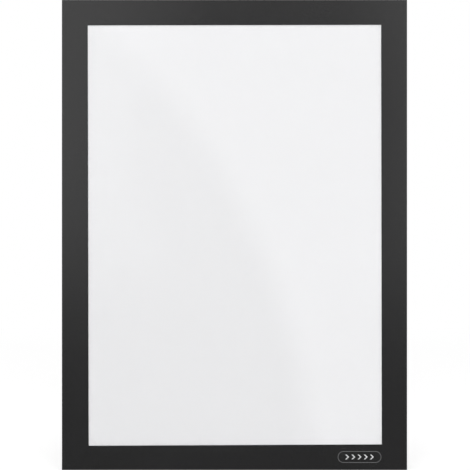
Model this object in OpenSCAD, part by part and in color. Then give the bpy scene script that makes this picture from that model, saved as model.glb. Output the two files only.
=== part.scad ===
// Magnetic document frame: two thin leaves joined by a film hinge along the left edge.
// The rear leaf clings to a steel wall by magnet strips, and the front leaf shuts on it.
// Millimetres, +Z up, +X to the right of a viewer in front of it. The wall is the plane y = 0,
// the frame stands out from it towards -Y, and the origin is the middle of its wall face.
// A depth is a distance from the wall.

/* [Document sheet] */
// Width of the sheet, an upright A4
sheet_w = 210; // [100:1:420]
// Height of the sheet
sheet_h = 297; // [140:1:594]
// Thickness of the sheet
sheet_t = 0.1; // [0.08:0.01:0.3]

/* [Leaves] */
// Play between the sheet and the strips at its left and right
sheet_play_side = 1.0; // [0.3:0.1:5]
// Spare height above the sheet, which stands on the bottom closing strip
sheet_play_top = 2.4; // [0.5:0.1:10]
// Distance from the magnet strips to the outer edges of the leaves
edge_inset = 1.3; // [0.5:0.1:5]
// How far the border laps over the sheet at its left and right
lap_side = 3.05; // [1:0.05:8]
// How far the border laps over the top of the sheet
lap_top = 1.3; // [0.5:0.1:8]
// Thickness of the rear panel
back_panel_t = 0.4; // [0.3:0.05:1.5]
// Thickness of the clear front panel
window_panel_t = 0.25; // [0.15:0.05:1]
// Thickness of the black border film
border_t = 0.15; // [0.1:0.05:1]
// Thickness of the adhesive film under the border
border_tape_t = 0.05; // [0.03:0.01:0.3]

/* [Magnet strips] */
// Width of every strip: the closing strips face the wall strips through the rear panel
strip_w = 12.5; // [8:0.5:25]
// Thickness of the strips that hold the frame to the wall
wall_strip_t = 0.85; // [0.5:0.05:2]
// Thickness of the strips that hold the front leaf shut
closing_strip_t = 0.4; // [0.3:0.05:1]
// Gap between two strips that meet at a corner
strip_gap = 0.4; // [0.1:0.1:2]
// Thickness of the adhesive tape under the strips
tape_t = 0.1; // [0.05:0.01:0.3]

/* [Hinge film] */
// Thickness of the hinge film
hinge_film_t = 0.15; // [0.08:0.01:0.2]
// Distance from the centre of the fold to the edges of the leaves
hinge_setback = 0.2; // [0.1:0.05:1]

/* [Hidden] */
$fn = 64;
// Overshoot of every cut past the face it opens
cut_over = 1;

// Outlines worked out from the sheet: the leaves, the sheet's place in them and the window.
// The window is centred on the leaves.
leaf_w = sheet_w + 2 * (sheet_play_side + strip_w + edge_inset);
leaf_h = sheet_h + sheet_play_top + 2 * (strip_w + edge_inset);
leaf_left = -leaf_w / 2;
leaf_right = leaf_w / 2;
leaf_bottom = -leaf_h / 2;
leaf_top = leaf_h / 2;
sheet_bottom = leaf_bottom + edge_inset + strip_w;
sheet_top = sheet_bottom + sheet_h;
window_w = sheet_w - 2 * lap_side;
window_h = 2 * (sheet_top - lap_top);

// Depth of the rear face of each layer
wall_tape_depth = wall_strip_t;
back_panel_depth = wall_tape_depth + tape_t;
pocket_depth = back_panel_depth + back_panel_t;
closing_tape_depth = pocket_depth + closing_strip_t;
window_panel_depth = closing_tape_depth + tape_t;
border_tape_depth = window_panel_depth + window_panel_t;
border_depth = border_tape_depth + border_tape_t;

// The folded film fills the space between the two panels, and its fold's centre is the hinge axis
fold_r = (window_panel_depth - pocket_depth) / 2;
hinge_x = leaf_left - hinge_setback;
hinge_depth = pocket_depth + fold_r;
hinge_right = leaf_left + edge_inset + strip_w;

// A strip's outline on one side of the leaves, as [left, right, bottom, top].
// The top and bottom strips start at x_start, and the side strips stand between them.
function strip_outline(side, x_start) =
    let (
        x_end = leaf_right - edge_inset,
        z_low = leaf_bottom + edge_inset,
        z_high = leaf_top - edge_inset,
        side_low = z_low + strip_w + strip_gap,
        side_high = z_high - strip_w - strip_gap
    )
    side == "top" ? [x_start, x_end, z_high - strip_w, z_high]
    : side == "bottom" ? [x_start, x_end, z_low, z_low + strip_w]
    : side == "left" ? [x_start, x_start + strip_w, side_low, side_high]
    : [x_end - strip_w, x_end, side_low, side_high];

function wall_outline(side) = strip_outline(side, leaf_left + edge_inset);
function closing_outline(side) = strip_outline(side, hinge_right + strip_gap);

// A flat layer with the given outline, its rear face at the given depth
module layer(outline, depth, thickness) {
    translate([outline[0], -depth - thickness, outline[2]])
        cube([outline[1] - outline[0], thickness, outline[3] - outline[2]]);
}

// A layer as large as the leaves
module leaf_layer(depth, thickness) {
    layer([leaf_left, leaf_right, leaf_bottom, leaf_top], depth, thickness);
}

// A layer as large as the leaves with the window cut through it
module window_ring(depth, thickness) {
    window_outline = [-window_w / 2, window_w / 2, -window_h / 2, window_h / 2];
    difference() {
        leaf_layer(depth, thickness);
        layer(window_outline, depth - cut_over, thickness + 2 * cut_over);
    }
}

module back_panel() {
    color("#242426") leaf_layer(back_panel_depth, back_panel_t);
}

module wall_magnet(side) {
    color("#4b4540") layer(wall_outline(side), 0, wall_strip_t);
}

module wall_tape(side) {
    color("#c7c0af") layer(wall_outline(side), wall_tape_depth, tape_t);
}

// The sheet lies against the clear panel and stands on the bottom closing strip
module document_sheet() {
    outline = [-sheet_w / 2, sheet_w / 2, sheet_bottom, sheet_top];
    color("#f2f2f3") layer(outline, window_panel_depth - sheet_t, sheet_t);
}

// Outline of the closed fold seen along the hinge axis: a round end and a straight tail
module fold_outline(radius, tail) {
    circle(radius);
    translate([0, -radius]) square([tail, 2 * radius]);
}

// One film, folded round the hinge axis, with a flange on each panel
module hinge_film() {
    flange_w = hinge_right - hinge_x;
    color("#1c1c1e")
        translate([hinge_x, -hinge_depth, leaf_bottom])
            linear_extrude(height = leaf_h)
                difference() {
                    fold_outline(fold_r, flange_w);
                    fold_outline(fold_r - hinge_film_t, flange_w + cut_over);
                }
}

module window_panel() {
    color("#e9eef2", 0.3) leaf_layer(window_panel_depth, window_panel_t);
}

// Black, because it shows through the clear panel from behind
module border_tape() {
    color("#1f1f20") window_ring(border_tape_depth, border_tape_t);
}

module front_border() {
    color("#232324") window_ring(border_depth, border_t);
}

module closing_magnet(side) {
    color("#4b4540") layer(closing_outline(side), pocket_depth, closing_strip_t);
}

module closing_tape(side) {
    color("#c7c0af") layer(closing_outline(side), closing_tape_depth, tape_t);
}

back_panel();
wall_magnet("top");  // wall_magnet_top
wall_magnet("bottom");  // wall_magnet_bottom
wall_magnet("left");  // wall_magnet_left
wall_magnet("right");  // wall_magnet_right
wall_tape("top");  // wall_tape_top
wall_tape("bottom");  // wall_tape_bottom
wall_tape("left");  // wall_tape_left
wall_tape("right");  // wall_tape_right
document_sheet();
hinge_film();
window_panel();
border_tape();
front_border();
closing_magnet("top");  // closing_magnet_top
closing_magnet("right");  // closing_magnet_right
closing_magnet("bottom");  // closing_magnet_bottom
closing_tape("top");  // closing_tape_top
closing_tape("right");  // closing_tape_right
closing_tape("bottom");  // closing_tape_bottom
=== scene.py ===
import math

import bmesh
import bpy
from mathutils import Matrix, Vector


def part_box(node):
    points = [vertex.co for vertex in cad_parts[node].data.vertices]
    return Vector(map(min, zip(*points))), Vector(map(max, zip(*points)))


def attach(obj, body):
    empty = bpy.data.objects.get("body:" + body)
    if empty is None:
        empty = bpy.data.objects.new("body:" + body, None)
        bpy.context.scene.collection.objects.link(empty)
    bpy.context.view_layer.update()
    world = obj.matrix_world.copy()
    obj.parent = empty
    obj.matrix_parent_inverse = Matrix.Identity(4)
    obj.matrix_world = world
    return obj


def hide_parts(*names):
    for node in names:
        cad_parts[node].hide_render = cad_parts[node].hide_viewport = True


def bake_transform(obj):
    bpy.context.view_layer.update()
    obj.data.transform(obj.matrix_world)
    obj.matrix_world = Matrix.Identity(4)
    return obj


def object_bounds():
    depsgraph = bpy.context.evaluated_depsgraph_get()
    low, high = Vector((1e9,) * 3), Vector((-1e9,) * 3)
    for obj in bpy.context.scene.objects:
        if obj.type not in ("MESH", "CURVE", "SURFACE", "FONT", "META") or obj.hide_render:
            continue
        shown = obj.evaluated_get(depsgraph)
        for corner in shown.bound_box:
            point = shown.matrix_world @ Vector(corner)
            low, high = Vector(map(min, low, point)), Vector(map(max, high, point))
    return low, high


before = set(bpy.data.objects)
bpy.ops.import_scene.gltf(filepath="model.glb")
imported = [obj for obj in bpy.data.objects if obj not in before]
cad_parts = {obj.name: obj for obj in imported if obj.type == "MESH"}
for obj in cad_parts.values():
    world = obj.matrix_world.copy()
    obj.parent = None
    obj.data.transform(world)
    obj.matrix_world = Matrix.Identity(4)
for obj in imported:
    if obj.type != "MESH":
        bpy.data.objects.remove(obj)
cad_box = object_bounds()

# Rear panel: a sheet of black rigid PVC, guillotined to the size of the frame, with a fine
# hair-cell emboss rolled into it. The rest of the rear leaf is taped, welded or laid on it.
MM = 0.001
PANEL_EDGE = 0.08 * MM
PANEL_BLACK = (0.0200, 0.0200, 0.0206, 1)
PANEL_SMUDGED = (0.0260, 0.0260, 0.0266, 1)
PANEL_PAINTED_PIT_SHADE = (0.0060, 0.0060, 0.0063, 1)
PANEL_RUBBED = (0.050, 0.050, 0.051, 1)
PANEL_ROUGHNESS = (0.44, 0.56)
PANEL_EMBOSS = 0.16 * MM
# Smudges, cells, patches, grains and the like are counted to a metre
PANEL_SMUDGES = 14
PANEL_CELLS = 750
PEBBLE_SHARE = 0.5
PIT_SHADE_HEIGHTS = (0.5, 1.0)
RUB_REACH = 0.6 * MM
RUB_PATCHES = 240
RUB_LEAST = 0.15
# Edges are the two values of a noise between which its patches set in
SMUDGE_EDGES = (0.36, 0.66)
RUB_EDGES = (0.35, 0.65)
SHARP_ANGLE = math.radians(50)
SMOOTH_ANGLE = math.radians(35)


def start_block(name, low, high):
    """A block between two corners, with its place in its mesh."""
    bpy.ops.object.select_all(action="DESELECT")
    bpy.ops.mesh.primitive_cube_add(size=1, location=(low + high) / 2)
    block = bpy.context.object
    block.name = name
    block.scale = high - low
    bpy.ops.object.transform_apply(location=True, rotation=True, scale=True)
    return block


def finish_with(piece, kind, **settings):
    """Adds one modifier to a piece and applies it."""
    bpy.context.view_layer.objects.active = piece
    modifier = piece.modifiers.new(kind, kind)
    for setting, value in settings.items():
        setattr(modifier, setting, value)
    bpy.ops.object.modifier_apply(modifier=modifier.name)


def round_edges(piece, radius, segments=2):
    """Rounds every sharp edge of a piece, as a cutter or a roller leaves it. Its faces stay flat."""
    finish_with(
        piece, "BEVEL", width=radius, segments=segments, limit_method="ANGLE",
        angle_limit=SHARP_ANGLE, use_clamp_overlap=True,
    )
    bpy.ops.object.shade_smooth_by_angle(angle=SMOOTH_ANGLE)
    finish_with(piece, "WEIGHTED_NORMAL", weight=100, keep_sharp=True)


def seat(piece, body, slot, *nodes):
    """A finished piece rides on its leaf, in place of its CAD nodes. Its slot is not used."""
    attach(piece, body)
    if nodes:
        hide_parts(*nodes)


def feed(tree, node, inputs):
    """Sets a node's inputs. One that is given a socket is linked to it."""
    for name, value in inputs.items():
        if isinstance(value, bpy.types.NodeSocket):
            tree.links.new(value, node.inputs[name])
        else:
            node.inputs[name].default_value = value


def add_node(tree, kind, inputs, **settings):
    """A new node with its settings and its inputs."""
    made = tree.nodes.new(kind)
    for setting, value in settings.items():
        setattr(made, setting, value)
    feed(tree, made, inputs)
    return made


def reckon(tree, operation, *values):
    """One step of arithmetic on values or sockets."""
    return add_node(
        tree, "ShaderNodeMath", dict(enumerate(values)), operation=operation
    ).outputs[0]


def spread(tree, value, low, high, start=0.0, end=1.0):
    """Carries a value that runs from start to end over to low to high, and holds it there."""
    return add_node(
        tree, "ShaderNodeMapRange",
        {"Value": value, "From Min": start, "From Max": end, "To Min": low, "To Max": high},
        interpolation_type="SMOOTHSTEP",
    ).outputs["Result"]


def rise(tree, value, start, end):
    """How far a value has come from start to end: 0 at the start, 1 at the end."""
    return spread(tree, value, 0, 1, start, end)


def coordinate(tree, place, axis):
    """One coordinate, X, Y or Z, of a place."""
    return add_node(tree, "ShaderNodeSeparateXYZ", {"Vector": place}).outputs[axis]


def mix_colours(tree, factor, first, second):
    """The first colour where the factor is 0, the second where it is 1."""
    return add_node(
        tree, "ShaderNodeMix", {0: factor, 6: first, 7: second}, data_type="RGBA"
    ).outputs[2]


def speckle(tree, place, scale, detail=3.0, distortion=0.0):
    """Cloudy noise with this many clouds to a metre."""
    return add_node(
        tree, "ShaderNodeTexNoise",
        {"Vector": place, "Scale": scale, "Detail": detail, "Distortion": distortion},
    ).outputs[0]


def bump(tree, height, depth):
    """The normal of a surface that stands this deep where the height is 1."""
    return add_node(
        tree, "ShaderNodeBump", {"Height": height, "Distance": depth, "Strength": 1.0}
    ).outputs["Normal"]


def start_group(name, inputs, outputs):
    """An empty node group with these sockets, and its two end nodes."""
    group = bpy.data.node_groups.new(name, "ShaderNodeTree")
    for direction, sockets in (("INPUT", inputs), ("OUTPUT", outputs)):
        for socket, kind in sockets.items():
            group.interface.new_socket(
                socket, in_out=direction, socket_type="NodeSocket" + kind
            )
    return group, group.nodes.new("NodeGroupInput"), group.nodes.new("NodeGroupOutput")


def make_hair_cell():
    """Emboss of rolled plastic sheet: shallow cells with wandering hair lines."""
    group, given, out = start_group(
        "Hair cell emboss", {"Vector": "Vector", "Cells": "Float"}, {"Height": "Float"}
    )
    place, cells = given.outputs["Vector"], given.outputs["Cells"]
    pebbles = add_node(
        group, "ShaderNodeTexVoronoi", {"Vector": place, "Scale": cells}
    ).outputs["Distance"]
    hairs = speckle(group, place, cells, detail=2.0, distortion=1.2)
    feed(group, out, {"Height": reckon(group, "MULTIPLY_ADD", pebbles, PEBBLE_SHARE, hairs)})
    return group


def make_smudges():
    """Traces of hands: broad, uneven smudges."""
    group, given, out = start_group(
        "Smudges", {"Vector": "Vector", "Patches": "Float"}, {"Smudge": "Float"}
    )
    clouds = speckle(
        group, given.outputs["Vector"], given.outputs["Patches"], detail=5.0, distortion=0.4
    )
    feed(group, out, {"Smudge": rise(group, clouds, *SMUDGE_EDGES)})
    return group


def make_rubbed_edge():
    """Patchy wear along the outline of an upright rectangle about the origin."""
    group, given, out = start_group(
        "Rubbed edge",
        {"Vector": "Vector", "Half Width": "Float", "Half Height": "Float", "Reach": "Float"},
        {"Mask": "Float"},
    )
    place = given.outputs["Vector"]
    across = reckon(group, "ABSOLUTE", coordinate(group, place, "X"))
    up = reckon(group, "ABSOLUTE", coordinate(group, place, "Z"))
    past_side = reckon(group, "SUBTRACT", across, given.outputs["Half Width"])
    past_end = reckon(group, "SUBTRACT", up, given.outputs["Half Height"])
    away = reckon(group, "ABSOLUTE", reckon(group, "MAXIMUM", past_side, past_end))
    near = spread(group, reckon(group, "DIVIDE", away, given.outputs["Reach"]), 1.0, 0.0)
    clouds = speckle(group, place, RUB_PATCHES, detail=4.0)
    patchy = spread(group, clouds, RUB_LEAST, 1.0, *RUB_EDGES)
    feed(group, out, {"Mask": reckon(group, "MULTIPLY", near, patchy)})
    return group


HAIR_CELL = make_hair_cell()
SMUDGES = make_smudges()
RUBBED_EDGE = make_rubbed_edge()


def start_material(name):
    """A new material with its tree, its shader and its Object coordinates."""
    material = bpy.data.materials.new(name)
    material.use_nodes = True
    tree = material.node_tree
    place = tree.nodes.new("ShaderNodeTexCoord").outputs["Object"]
    return material, tree, tree.nodes["Principled BSDF"], place


def add_smudges(tree, place, patches):
    return add_node(
        tree, "ShaderNodeGroup", {"Vector": place, "Patches": patches}, node_tree=SMUDGES
    ).outputs["Smudge"]


def add_hair_cell(tree, place, cells):
    return add_node(
        tree, "ShaderNodeGroup", {"Vector": place, "Cells": cells}, node_tree=HAIR_CELL
    ).outputs["Height"]


def add_rubbed_edge(tree, place, half_width, half_height):
    return add_node(
        tree, "ShaderNodeGroup",
        {
            "Vector": place, "Half Width": half_width, "Half Height": half_height,
            "Reach": RUB_REACH,
        },
        node_tree=RUBBED_EDGE,
    ).outputs["Mask"]


def paint_pit_shade(tree, relief, pits, colour):
    """Painted shade: the low places of an emboss are painted darker, in the given pit colour."""
    return mix_colours(tree, rise(tree, relief, *PIT_SHADE_HEIGHTS), pits, colour)


panel_low, panel_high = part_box("back_panel")
rear_panel = start_block("rear_panel", panel_low, panel_high)
round_edges(rear_panel, PANEL_EDGE)

embossed_black, tree, shader, place = start_material("embossed_black_sheet")
smudge = add_smudges(tree, place, PANEL_SMUDGES)
rubbed = add_rubbed_edge(tree, place, panel_high.x, panel_high.z)
relief = add_hair_cell(tree, place, PANEL_CELLS)
colour = mix_colours(tree, smudge, PANEL_BLACK, PANEL_SMUDGED)
# Painted shade: the pits of the hair-cell emboss are painted darker
colour = paint_pit_shade(tree, relief, PANEL_PAINTED_PIT_SHADE, colour)
feed(tree, shader, {
    "Base Color": mix_colours(tree, rubbed, colour, PANEL_RUBBED),
    "Roughness": spread(tree, smudge, *PANEL_ROUGHNESS),
    "Normal": bump(tree, relief, PANEL_EMBOSS),
})
rear_panel.data.materials.append(embossed_black)
seat(rear_panel, "rear_leaf", "black_panel", "back_panel")

# Tapes: double-sided adhesive tape between each magnet strip and its panel, slit to the width
# of the strip. Only its cream edge shows. The CAD tapes stay, with this finish.
TAPE_CREAM = (0.62, 0.58, 0.48, 1)
TAPE_AGED = (0.50, 0.45, 0.35, 1)
TAPE_ROUGHNESS = (0.4, 0.6)
TAPE_SMUDGES = 60
TAPE_GRAINS = 1800
TAPE_GRAIN_DEPTH = 0.01 * MM
WALL_SIDES = ("top", "bottom", "left", "right")
CLOSING_SIDES = ("top", "right", "bottom")


def finish_node(name, material):
    """A CAD node that stays takes a new finish."""
    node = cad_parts[name]
    node.data.materials.clear()
    node.data.materials.append(material)


cream_tape, tree, shader, place = start_material("cream_adhesive_tape")
smudge = add_smudges(tree, place, TAPE_SMUDGES)
feed(tree, shader, {
    "Base Color": mix_colours(tree, smudge, TAPE_CREAM, TAPE_AGED),
    "Roughness": spread(tree, smudge, *TAPE_ROUGHNESS),
    "Normal": bump(tree, speckle(tree, place, TAPE_GRAINS), TAPE_GRAIN_DEPTH),
})
for side in WALL_SIDES:
    finish_node("wall_tape_" + side, cream_tape)
for side in CLOSING_SIDES:
    finish_node("closing_tape_" + side, cream_tape)

# Magnet strips: ferrite powder in rubber, rolled out, slit and cut to length, so they have
# round edges and fine streaks along their length. Four hold the frame to the wall, and three
# thinner ones on the clear panel hold the front leaf shut.
STRIP_EDGE = 0.14 * MM
STRIP_BROWN = (0.058, 0.048, 0.041, 1)
STRIP_PALE = (0.088, 0.076, 0.067, 1)
STRIP_ROUGHNESS = (0.48, 0.66)
STRIP_SMUDGES = 30
STREAKS_ALONG = 9
STREAKS_ACROSS = 1500
STREAK_EDGES = (0.3, 0.75)
STREAK_DEPTH = 0.012 * MM
STRIP_PITS = 3200
STRIP_PIT_SHARE = 0.6


def make_strip_rubber(name, streak_scale):
    """Rubber with paler streaks, stretched along the strip, and small pits."""
    material, tree, shader, place = start_material(name)
    stretched = add_node(
        tree, "ShaderNodeMapping", {"Vector": place, "Scale": streak_scale}
    ).outputs["Vector"]
    streaks = speckle(tree, stretched, 1.0, detail=4.0)
    pits = speckle(tree, place, STRIP_PITS, detail=2.0)
    smudge = add_smudges(tree, place, STRIP_SMUDGES)
    paler = rise(tree, streaks, *STREAK_EDGES)
    relief = reckon(tree, "MULTIPLY_ADD", pits, STRIP_PIT_SHARE, streaks)
    feed(tree, shader, {
        "Base Color": mix_colours(tree, paler, STRIP_BROWN, STRIP_PALE),
        "Roughness": spread(tree, smudge, *STRIP_ROUGHNESS),
        "Normal": bump(tree, relief, STREAK_DEPTH),
    })
    return material


level_rubber = make_strip_rubber(
    "ferrite_rubber_level", (STREAKS_ALONG, STREAKS_ACROSS, STREAKS_ACROSS)
)
upright_rubber = make_strip_rubber(
    "ferrite_rubber_upright", (STREAKS_ACROSS, STREAKS_ACROSS, STREAKS_ALONG)
)
for leaf, kind, sides in (
    ("rear_leaf", "wall", WALL_SIDES),
    ("front_leaf", "closing", CLOSING_SIDES),
):
    for side in sides:
        node = kind + "_magnet_" + side
        strip = start_block(kind + "_strip_" + side, *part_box(node))
        round_edges(strip, STRIP_EDGE, segments=3)
        strip.data.materials.append(
            level_rubber if side in ("top", "bottom") else upright_rubber
        )
        seat(strip, leaf, "ferrite_rubber", node)

# Document: a blank sheet of white office paper. It lies against the clear panel and stands on
# the bottom closing strip, and sinks back here and there, as loose paper is never quite flat.
PAPER_WHITE = (0.863, 0.863, 0.8745, 1)
PAPER_CLOUD = (0.852, 0.852, 0.8635, 1)
PAPER_ROUGHNESS = (0.72, 0.86)
PAPER_CLOUDS = 420
PAPER_CLOUD_EDGES = (0.35, 0.65)
PAPER_FIBRES = 2600
FIBRE_DEPTH = 0.006 * MM
PAPER_SPACING = 5 * MM
PAPER_CLEARANCE = 0.06 * MM
PAPER_WAVES = (
    # Where the sheet sinks, across and up, how far, and how wide the hollow is
    (-40 * MM, 60 * MM, -0.12 * MM, 60 * MM),
    (45 * MM, -30 * MM, -0.16 * MM, 55 * MM),
    (-35 * MM, -80 * MM, -0.10 * MM, 55 * MM),
)


def start_sheet(name, low, high, y, spacing=math.inf):
    """An upright sheet that faces the viewer at depth y, with its place in its mesh.

    It is one face, or a grid where a spacing is given.
    """
    bpy.ops.object.select_all(action="DESELECT")
    size = high - low
    bpy.ops.mesh.primitive_grid_add(
        x_subdivisions=max(1, round(size.x / spacing)),
        y_subdivisions=max(1, round(size.z / spacing)),
        size=1,
        location=((low.x + high.x) / 2, y, (low.z + high.z) / 2),
        rotation=(math.radians(90), 0, 0),
    )
    sheet = bpy.context.object
    sheet.name = name
    sheet.scale = (size.x, size.z, 1)
    bpy.ops.object.transform_apply(location=True, rotation=True, scale=True)
    return sheet


def pick(piece, kind, test):
    """In edit mode, selects the verts, edges or faces whose middle passes the test."""
    bpy.ops.mesh.select_mode(type={"verts": "VERT", "edges": "EDGE", "faces": "FACE"}[kind])
    bpy.ops.mesh.select_all(action="DESELECT")
    mesh = bmesh.from_edit_mesh(piece.data)
    for part in getattr(mesh, kind):
        middle = part.co if kind == "verts" else (
            sum((vert.co for vert in part.verts), Vector()) / len(part.verts)
        )
        if test(middle):
            part.select_set(True)
    bmesh.update_edit_mesh(piece.data)


def swell(piece, waves, spacing):
    """Pulls a sheet towards the viewer, or pushes it back, in broad soft waves."""
    bpy.ops.object.mode_set(mode="EDIT")
    for x, z, lift, reach in waves:
        crest = Vector((x, 0, z))
        pick(piece, "verts", lambda at: (Vector((at.x, 0, at.z)) - crest).length < spacing)
        bpy.ops.transform.translate(
            value=(0, -lift, 0), use_proportional_edit=True,
            proportional_edit_falloff="SMOOTH", proportional_size=reach,
        )
    bpy.ops.object.mode_set(mode="OBJECT")


paper_low, paper_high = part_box("document_sheet")
paper = start_sheet(
    "paper_sheet", paper_low, paper_high, paper_low.y + PAPER_CLEARANCE, PAPER_SPACING
)
swell(paper, PAPER_WAVES, PAPER_SPACING)
finish_with(paper, "SOLIDIFY", thickness=paper_high.y - paper_low.y, offset=-1)
bpy.ops.object.shade_smooth_by_angle(angle=SMOOTH_ANGLE)

white_paper, tree, shader, place = start_material("white_office_paper")
clouds = rise(tree, speckle(tree, place, PAPER_CLOUDS, detail=6.0), *PAPER_CLOUD_EDGES)
fibres = speckle(tree, place, PAPER_FIBRES, detail=3.0, distortion=1.5)
feed(tree, shader, {
    "Base Color": mix_colours(tree, clouds, PAPER_WHITE, PAPER_CLOUD),
    "Roughness": spread(tree, fibres, *PAPER_ROUGHNESS),
    "Normal": bump(tree, fibres, FIBRE_DEPTH),
})
paper.data.materials.append(white_paper)
seat(paper, "rear_leaf", "white_paper", "document_sheet")

# Hinge film: one strip of soft black vinyl, folded along the left edge of the frame, with one
# flange welded to each panel. The real film bends at the fold alone as the front leaf swings;
# this mesh keeps the one shape it has when shut, and rides on no leaf.
FILM_THICKNESS = 0.15 * MM
FILM_SPACING = 20 * MM
FOLD_STEPS = 16
FILM_BLACK = (0.0120, 0.0120, 0.0126, 1)
FILM_SMUDGED = (0.0180, 0.0180, 0.0186, 1)
FILM_STRESSED = (0.060, 0.060, 0.062, 1)
FILM_ROUGHNESS = (0.34, 0.46)
FILM_SMUDGES = 40
FILM_CELLS = 3500
FILM_EMBOSS = 0.008 * MM
CREASE_REACH = 0.6 * MM
CREASE_STRENGTH = 0.35

fold_low, fold_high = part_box("hinge_film")
fold_radius = (fold_high.y - fold_low.y) / 2
fold_centre = Vector((fold_low.x + fold_radius, (fold_low.y + fold_high.y) / 2, 0))
bend_radius = fold_radius - FILM_THICKNESS / 2
inner_radius = fold_radius - FILM_THICKNESS
rear_flange_low = Vector((fold_centre.x, 0, fold_low.z))
hinge = start_sheet(
    "hinge_strip", rear_flange_low, fold_high, fold_centre.y + bend_radius, FILM_SPACING
)
bpy.ops.object.mode_set(mode="EDIT")
pick(hinge, "edges", lambda at: abs(at.x - fold_centre.x) < inner_radius / 10)
bpy.ops.mesh.spin(
    steps=FOLD_STEPS, angle=-math.pi, center=fold_centre, axis=(0, 0, 1), dupli=False
)
bpy.ops.mesh.extrude_region_move(
    TRANSFORM_OT_translate={"value": (fold_high.x - fold_centre.x, 0, 0)}
)
bpy.ops.mesh.select_all(action="SELECT")
bpy.ops.mesh.remove_doubles(threshold=inner_radius / 100)
bpy.ops.mesh.normals_make_consistent(inside=False)
# Spin leaves its faces in another order each run, so they are put in one order here
bpy.context.scene.cursor.location = fold_low
bpy.ops.mesh.sort_elements(type="CURSOR_DISTANCE", elements={"VERT", "EDGE", "FACE"})
bpy.ops.object.mode_set(mode="OBJECT")
finish_with(hinge, "SOLIDIFY", thickness=FILM_THICKNESS, offset=0)
bpy.ops.object.shade_smooth_by_angle(angle=SMOOTH_ANGLE)

black_vinyl, tree, shader, place = start_material("soft_black_vinyl")
smudge = add_smudges(tree, place, FILM_SMUDGES)
colour = mix_colours(tree, smudge, FILM_BLACK, FILM_SMUDGED)
past_fold = reckon(tree, "SUBTRACT", coordinate(tree, place, "X"), fold_centre.x)
from_fold = reckon(tree, "ABSOLUTE", past_fold)
crease = spread(tree, from_fold, CREASE_STRENGTH, 0.0, start=0.0, end=CREASE_REACH)
feed(tree, shader, {
    "Base Color": mix_colours(tree, crease, colour, FILM_STRESSED),
    "Roughness": spread(tree, smudge, *FILM_ROUGHNESS),
    "Normal": bump(tree, add_hair_cell(tree, place, FILM_CELLS), FILM_EMBOSS),
})
hinge.data.materials.append(black_vinyl)
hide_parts("hinge_film")
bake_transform(hinge)

# Clear panel: a sheet of clear rigid PVC, the board of the front leaf. It is held flat under
# the border and bows out a hair in the window. To the right of a long curved edge its colour
# is painted brighter, a painted sheen, most of all low down.
PVC_IOR = 1.53
CLEAR_SPACING = 5 * MM
CLEAR_CLEARANCE = 0.005 * MM
CLEAR_BOW = (
    # Where the panel bows out, across and up, how far, and how wide the bow is
    (15 * MM, 25 * MM, 0.13 * MM, 95 * MM),
    (-30 * MM, -70 * MM, 0.08 * MM, 65 * MM),
)
CLEAR_TINT = (0.934, 0.935, 0.936, 1)
CLEAR_PAINTED_SHEEN = (0.998, 0.999, 1.0, 1)
CLEAR_ROUGHNESS = (0.10, 0.13)
CLEAR_SMUDGES = 10
CLEAR_RIPPLES = 9
RIPPLE_DEPTH = 0.25 * MM
SHEEN_CENTRE = (-391 * MM, 0, -183 * MM)
SHEEN_EDGE = (428 * MM, 460 * MM)
SHEEN_HEIGHTS = (140 * MM, -140 * MM)
SHEEN_LEAST = 0.65

clear_low, clear_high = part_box("window_panel")
clear_panel = start_sheet(
    "clear_panel", clear_low, clear_high, clear_low.y + CLEAR_CLEARANCE, CLEAR_SPACING
)
swell(clear_panel, CLEAR_BOW, CLEAR_SPACING)
clear_thickness = clear_high.y - clear_low.y - 2 * CLEAR_CLEARANCE
finish_with(clear_panel, "SOLIDIFY", thickness=clear_thickness, offset=-1)
bpy.ops.object.shade_smooth_by_angle(angle=SMOOTH_ANGLE)

clear_sheet, tree, shader, place = start_material("clear_rigid_sheet")
smudge = add_smudges(tree, place, CLEAR_SMUDGES)
ripple = speckle(tree, place, CLEAR_RIPPLES, detail=1.0)
# Painted sheen: to the right of a long curved edge the panel's colour is painted brighter, most of
# all low down
from_centre = add_node(
    tree, "ShaderNodeVectorMath", {0: place, 1: SHEEN_CENTRE}, operation="DISTANCE"
).outputs["Value"]
sheen_low_down = spread(tree, coordinate(tree, place, "Z"), SHEEN_LEAST, 1, *SHEEN_HEIGHTS)
painted_sheen = reckon(tree, "MULTIPLY", rise(tree, from_centre, *SHEEN_EDGE), sheen_low_down)
feed(tree, shader, {
    "Base Color": mix_colours(tree, painted_sheen, CLEAR_TINT, CLEAR_PAINTED_SHEEN),
    "Roughness": spread(tree, smudge, *CLEAR_ROUGHNESS),
    "Normal": bump(tree, ripple, RIPPLE_DEPTH),
    "Transmission Weight": 1.0,
    "IOR": PVC_IOR,
})
# The light of the lamps and of the surroundings passes straight through to the paper
light_path = tree.nodes.new("ShaderNodeLightPath")
passes = reckon(
    tree, "MAXIMUM", light_path.outputs["Is Shadow Ray"], light_path.outputs["Is Diffuse Ray"]
)
let_through = tree.nodes.new("ShaderNodeBsdfTransparent")
feed(tree, tree.nodes["Material Output"], {
    "Surface": add_node(
        tree, "ShaderNodeMixShader",
        {0: passes, 1: shader.outputs["BSDF"], 2: let_through.outputs["BSDF"]},
    ).outputs["Shader"],
})
clear_panel.data.materials.append(clear_sheet)
seat(clear_panel, "front_leaf", "clear_panel", "window_panel")

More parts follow.
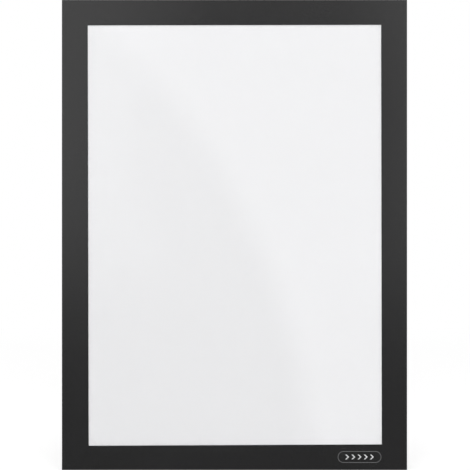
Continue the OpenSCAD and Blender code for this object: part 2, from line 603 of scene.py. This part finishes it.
# Border adhesive: a ring of black adhesive film that bonds the border to the clear panel, and
# shows through it from behind. One stroke of a die cuts the window in it and in the border,
# a hair off centre, and each side of it a hair out of square.
ADHESIVE_BLACK = (0.0110, 0.0110, 0.0114, 1)
ADHESIVE_BUBBLED = (0.0200, 0.0200, 0.0205, 1)
ADHESIVE_ROUGHNESS = (0.25, 0.4)
ADHESIVE_BUBBLES = 80
ADHESIVE_GRAINS = 900
ADHESIVE_GRAIN_DEPTH = 0.008 * MM
DIE_SHIFT = Vector((0.07, 0, -0.155)) * MM
WINDOW_CUTS = (
    # The way out to each side of the window, and the degrees that its cut is turned anticlockwise,
    # seen from the front
    ((-1, 0, 0), 0.13),
    ((1, 0, 0), 0.09),
    ((0, 0, -1), 0.26),
    ((0, 0, 1), 0.10),
)
TO_VIEWER = (0, -1, 0)

ring_corners = [vert.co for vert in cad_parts["front_border"].data.vertices]
window_half_w = min(abs(corner.x) for corner in ring_corners)
window_half_h = min(abs(corner.z) for corner in ring_corners)


def cut_ring(name, node):
    """A flat sheet with the window cut out of it, in the place of a CAD ring."""
    low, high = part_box(node)
    ring = start_sheet(name, low, high, low.y)
    bpy.ops.object.mode_set(mode="EDIT")
    for way_out, lean in WINDOW_CUTS:
        middle = Vector((way_out[0] * window_half_w, 0, way_out[2] * window_half_h))
        leaning = Matrix.Rotation(math.radians(lean), 3, TO_VIEWER) @ Vector(way_out)
        bpy.ops.mesh.select_all(action="SELECT")
        bpy.ops.mesh.bisect(plane_co=middle + DIE_SHIFT, plane_no=leaning)
    pick(ring, "faces", lambda at: abs(at.x) < window_half_w and abs(at.z) < window_half_h)
    bpy.ops.mesh.delete(type="FACE")
    bpy.ops.object.mode_set(mode="OBJECT")
    finish_with(ring, "SOLIDIFY", thickness=high.y - low.y, offset=-1)
    return ring


adhesive = cut_ring("adhesive_ring", "border_tape")

black_adhesive, tree, shader, place = start_material("black_adhesive_film")
bubbled = add_smudges(tree, place, ADHESIVE_BUBBLES)
feed(tree, shader, {
    "Base Color": mix_colours(tree, bubbled, ADHESIVE_BLACK, ADHESIVE_BUBBLED),
    "Roughness": spread(tree, bubbled, *ADHESIVE_ROUGHNESS),
    "Specular IOR Level": 0.0,
    "Normal": bump(tree, speckle(tree, place, ADHESIVE_GRAINS), ADHESIVE_GRAIN_DEPTH),
})
adhesive.data.materials.append(black_adhesive)
seat(adhesive, "front_leaf", "black_adhesive", "border_tape")

# Border: satin black PVC film with a very fine grain, die-cut in one piece with the window
# opening and stuck to the adhesive. The die rolls its edges over very slightly, and hands have
# greyed them a little.
BORDER_EDGE = 0.06 * MM
BORDER_BLACK = (0.0198, 0.0198, 0.0202, 1)
BORDER_SMUDGED = (0.0211, 0.0211, 0.0215, 1)
BORDER_PAINTED_PIT_SHADE = (0.0132, 0.0132, 0.0134, 1)
BORDER_RUBBED = (0.021, 0.021, 0.0215, 1)
BORDER_ROUGHNESS = (0.17, 0.19)
BORDER_SMUDGES = 11
BORDER_CELLS = 4200
BORDER_EMBOSS = 0.0015 * MM

border_low, border_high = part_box("front_border")
border = cut_ring("border_frame", "front_border")
round_edges(border, BORDER_EDGE)

satin_black, tree, shader, place = start_material("satin_black_film")
smudge = add_smudges(tree, place, BORDER_SMUDGES)
rubbed = reckon(
    tree, "MAXIMUM",
    add_rubbed_edge(tree, place, border_high.x, border_high.z),
    add_rubbed_edge(tree, place, window_half_w, window_half_h),
)
relief = add_hair_cell(tree, place, BORDER_CELLS)
colour = mix_colours(tree, smudge, BORDER_BLACK, BORDER_SMUDGED)
# Painted shade: the pits of the fine grain are painted darker
colour = paint_pit_shade(tree, relief, BORDER_PAINTED_PIT_SHADE, colour)
feed(tree, shader, {
    "Base Color": mix_colours(tree, rubbed, colour, BORDER_RUBBED),
    "Roughness": spread(tree, smudge, *BORDER_ROUGHNESS),
    "IOR": PVC_IOR,
    "Normal": bump(tree, relief, BORDER_EMBOSS),
})
border.data.materials.append(satin_black)
seat(border, "front_leaf", "satin_border", "front_border")

# Lift mark: arrows in a rounded outline, screen printed on the corner of the border that is
# lifted to open the leaf. The ink stands a few hundredths of a millimetre proud.
INK_THICKNESS = 0.03 * MM
INK_WHITE = (0.74, 0.74, 0.75, 1)
INK_WHITE_THIN = (0.60, 0.60, 0.61, 1)
INK_GREY = (0.105, 0.105, 0.107, 1)
INK_GREY_THIN = (0.080, 0.080, 0.082, 1)
INK_ROUGHNESS = (0.42, 0.6)
INK_GRAINS = 2400
INK_GRAIN_EDGES = (0.35, 0.7)
INK_GRAIN_DEPTH = 0.004 * MM
MARK_W = 30.4 * MM
MARK_H = 8.2 * MM
MARK_LEVEL = -154.4 * MM
MARK_LINE = 0.55 * MM
# A hair under half the height, so that the two rounded corners of an end don't meet
MARK_END_RADIUS = 0.499 * MARK_H
MARK_END_STEPS = 14
ARROWS = 5
ARROW_H = 3.3 * MM
ARROW_RUN = 1.7 * MM
ARROW_STROKE = 1.0 * MM
ARROW_PITCH = 4.3 * MM


def make_ink(name, full, thin):
    """Ink that covers unevenly, from one colour where it is full to another where it is thin."""
    material, tree, shader, place = start_material(name)
    cover = rise(tree, speckle(tree, place, INK_GRAINS, detail=4.0), *INK_GRAIN_EDGES)
    feed(tree, shader, {
        "Base Color": mix_colours(tree, cover, full, thin),
        "Roughness": spread(tree, cover, *INK_ROUGHNESS),
        "Normal": bump(tree, cover, INK_GRAIN_DEPTH),
    })
    return material


def start_print(name, left, right, bottom, top):
    """A flat patch of ink on the front of the border."""
    return start_sheet(name, Vector((left, 0, bottom)), Vector((right, 0, top)), border_low.y)


mark_right = window_half_w
mark_left = mark_right - MARK_W
outline = start_print(
    "lift_mark_outline", mark_left, mark_right, MARK_LEVEL - MARK_H / 2, MARK_LEVEL + MARK_H / 2
)
bpy.ops.object.mode_set(mode="EDIT")
bpy.ops.mesh.select_all(action="SELECT")
bpy.ops.mesh.bevel(offset=MARK_END_RADIUS, segments=MARK_END_STEPS, affect="VERTICES")
bpy.ops.mesh.select_all(action="SELECT")
bpy.ops.mesh.inset(thickness=MARK_LINE)
bpy.ops.mesh.delete(type="FACE")
bpy.ops.object.mode_set(mode="OBJECT")
finish_with(outline, "SOLIDIFY", thickness=INK_THICKNESS, offset=1)
outline.data.materials.append(make_ink("grey_ink", INK_GREY, INK_GREY_THIN))
seat(outline, "front_leaf", "satin_border")

arrows_w = (ARROWS - 1) * ARROW_PITCH + ARROW_STROKE + ARROW_RUN
first_left = (mark_left + mark_right - arrows_w) / 2
arrows = start_print(
    "lift_mark_arrows", first_left, first_left + ARROW_STROKE,
    MARK_LEVEL - ARROW_H / 2, MARK_LEVEL,
)
bpy.ops.object.mode_set(mode="EDIT")
pick(arrows, "edges", lambda at: at.z > MARK_LEVEL - ARROW_H / 8)
bpy.ops.transform.translate(value=(ARROW_RUN, 0, 0))
bpy.ops.mesh.extrude_region_move(
    TRANSFORM_OT_translate={"value": (-ARROW_RUN, 0, ARROW_H / 2)}
)
bpy.ops.object.mode_set(mode="OBJECT")
finish_with(
    arrows, "ARRAY", count=ARROWS, use_relative_offset=False, use_constant_offset=True,
    constant_offset_displace=(ARROW_PITCH, 0, 0),
)
finish_with(arrows, "SOLIDIFY", thickness=INK_THICKNESS, offset=1)
arrows.data.materials.append(make_ink("white_ink", INK_WHITE, INK_WHITE_THIN))
seat(arrows, "front_leaf", "satin_border")

# Studio: a white floor under a white sky, with broad soft lamps. The floor is lit and keeps
# the frame's shadow near it, and far off it runs out into the white of the sky.
FLOOR_SIZE = 24
FLOOR_DROP = 0.5 * MM
FLOOR_ALBEDO = (0.80, 0.80, 0.80, 1)
FLOOR_ROUGHNESS = 0.9
FLOOR_GLOSS = 0.1
FLOOR_LIFT = 0.55
FLOOR_NEAR = 0.6
FLOOR_FAR = 1.8
SKY_WHITE = (1, 1, 1, 1)
SKY_LIGHT = 0.2


def seen_by(tree):
    """One for rays that show the studio: to the camera, in gloss and through clear sheet."""
    path = tree.nodes.new("ShaderNodeLightPath")
    direct = reckon(
        tree, "MAXIMUM", path.outputs["Is Camera Ray"], path.outputs["Is Glossy Ray"]
    )
    return reckon(tree, "MAXIMUM", direct, path.outputs["Is Transmission Ray"])


bpy.ops.object.select_all(action="DESELECT")
bpy.ops.mesh.primitive_plane_add(size=FLOOR_SIZE, location=(0, 0, cad_box[0].z - FLOOR_DROP))
floor = bpy.context.object
floor.name = "studio_floor"
white_floor, tree, shader, place = start_material("white_floor")
feed(tree, shader, {
    "Base Color": FLOOR_ALBEDO,
    "Roughness": FLOOR_ROUGHNESS,
    "Specular IOR Level": FLOOR_GLOSS,
})
shown = seen_by(tree)
away = add_node(
    tree, "ShaderNodeVectorMath", {0: place}, operation="LENGTH"
).outputs["Value"]
far = reckon(tree, "MULTIPLY", shown, rise(tree, away, FLOOR_NEAR, FLOOR_FAR))
lift = add_node(
    tree, "ShaderNodeEmission", {"Strength": reckon(tree, "MULTIPLY", shown, FLOOR_LIFT)}
)
white = add_node(tree, "ShaderNodeEmission", {"Strength": 1.0})
near = add_node(
    tree, "ShaderNodeAddShader", {0: shader.outputs["BSDF"], 1: lift.outputs["Emission"]}
)
feed(tree, tree.nodes["Material Output"], {
    "Surface": add_node(
        tree, "ShaderNodeMixShader",
        {0: far, 1: near.outputs["Shader"], 2: white.outputs["Emission"]},
    ).outputs["Shader"],
})
floor.data.materials.append(white_floor)

sky = bpy.data.worlds.new("white_sky")
bpy.context.scene.world = sky
sky.use_nodes = True
tree = sky.node_tree
lit_sky = add_node(tree, "ShaderNodeBackground", {"Color": SKY_WHITE, "Strength": SKY_LIGHT})
shown_sky = add_node(tree, "ShaderNodeBackground", {"Color": SKY_WHITE, "Strength": 1.0})
feed(tree, tree.nodes["World Output"], {
    "Surface": add_node(
        tree, "ShaderNodeMixShader",
        {0: seen_by(tree), 1: lit_sky.outputs["Background"], 2: shown_sky.outputs["Background"]},
    ).outputs["Shader"],
})


def hang_lamp(name, at, width, height, watts, in_gloss=True):
    """A soft box that faces the frame. Gloss and clear sheet show it only where in_gloss is true."""
    bpy.ops.object.light_add(type="AREA", location=at)
    lamp = bpy.context.object
    lamp.name = name
    lamp.rotation_euler = (-Vector(at)).to_track_quat("-Z", "Y").to_euler()
    lamp.data.shape = "RECTANGLE"
    lamp.data.size = width
    lamp.data.size_y = height
    lamp.data.energy = watts
    lamp.visible_camera = False
    lamp.visible_glossy = in_gloss
    lamp.visible_transmission = in_gloss


hang_lamp("lamp_front", (0, -2.8, 0.7), width=2.0, height=1.4, watts=52, in_gloss=False)
hang_lamp("lamp_above", (0, -1.0, 2.1), width=2.4, height=1.2, watts=10, in_gloss=False)
hang_lamp("lamp_left", (-2.0, -1.0, 0.6), width=1.0, height=1.6, watts=5, in_gloss=False)
hang_lamp("lamp_right", (2.0, -1.0, 0.6), width=1.0, height=1.6, watts=5, in_gloss=False)
hang_lamp("lamp_rear_left", (-1.7, 1.5, 1.3), width=1.4, height=1.2, watts=8)
hang_lamp("lamp_rear_right", (1.7, 1.5, 1.3), width=1.4, height=1.2, watts=8)

# Dark cards: a dark mat on the floor in front of the frame, which the gloss of the border and the
# clear panel shows in its lower half, and a grey oval behind the camera, which it shows at the
# middle of the top. They are seen in gloss alone and light nothing.
MAT_LENGTH = 6.0
MAT_W = 6.0
MAT_NEAR = 0.03
MAT_DROP = 0.2 * MM
MAT_GREY = (0.13, 0.13, 0.13, 1)
OVAL_PLACE = (46 * MM, -1300 * MM, 150 * MM)
OVAL_HALF_W = 200 * MM
OVAL_HALF_H = 300 * MM
OVAL_STEPS = 64
OVAL_GREY = (0.35, 0.35, 0.35, 1)


def finish_card(card, name, scale, grey):
    """A card takes its size and its grey, and shows in gloss alone."""
    card.name = name
    card.scale = scale
    bpy.ops.object.transform_apply(location=True, rotation=True, scale=True)
    for ray in ("camera", "diffuse", "transmission", "volume_scatter", "shadow"):
        setattr(card, "visible_" + ray, False)
    material, tree, shader, place = start_material(name)
    material.cycles.emission_sampling = "NONE"
    glow = add_node(tree, "ShaderNodeEmission", {"Color": grey})
    feed(tree, tree.nodes["Material Output"], {"Surface": glow.outputs["Emission"]})
    card.data.materials.append(material)


bpy.ops.object.select_all(action="DESELECT")
bpy.ops.mesh.primitive_plane_add(
    size=1, location=(0, MAT_NEAR - MAT_LENGTH / 2, cad_box[0].z - MAT_DROP)
)
finish_card(bpy.context.object, "dark_mat", (MAT_W, MAT_LENGTH, 1), MAT_GREY)
bpy.ops.object.select_all(action="DESELECT")
bpy.ops.mesh.primitive_circle_add(
    radius=1, vertices=OVAL_STEPS, fill_type="NGON", location=OVAL_PLACE,
    rotation=(math.radians(90), 0, 0),
)
finish_card(bpy.context.object, "grey_oval", (OVAL_HALF_W, OVAL_HALF_H, 1), OVAL_GREY)

# Camera: square on to the window, as the photograph is, with a long lens, and the frame fills
# the picture from top to bottom.
LENS = 135
SENSOR = 36
PICTURE_H = 326.75 * MM
CAMERA_X = 0.175 * MM
CAMERA_Z = -0.08 * MM
NEAREST_SEEN = 10 * MM

reach = PICTURE_H * LENS / SENSOR
bpy.ops.object.camera_add(
    location=(CAMERA_X, cad_box[0].y - reach, CAMERA_Z), rotation=(math.radians(90), 0, 0)
)
camera = bpy.context.object
camera.data.lens = LENS
camera.data.sensor_width = SENSOR
camera.data.clip_start = NEAREST_SEEN
bpy.context.scene.camera = camera
bpy.context.scene.view_settings.view_transform = "Standard"
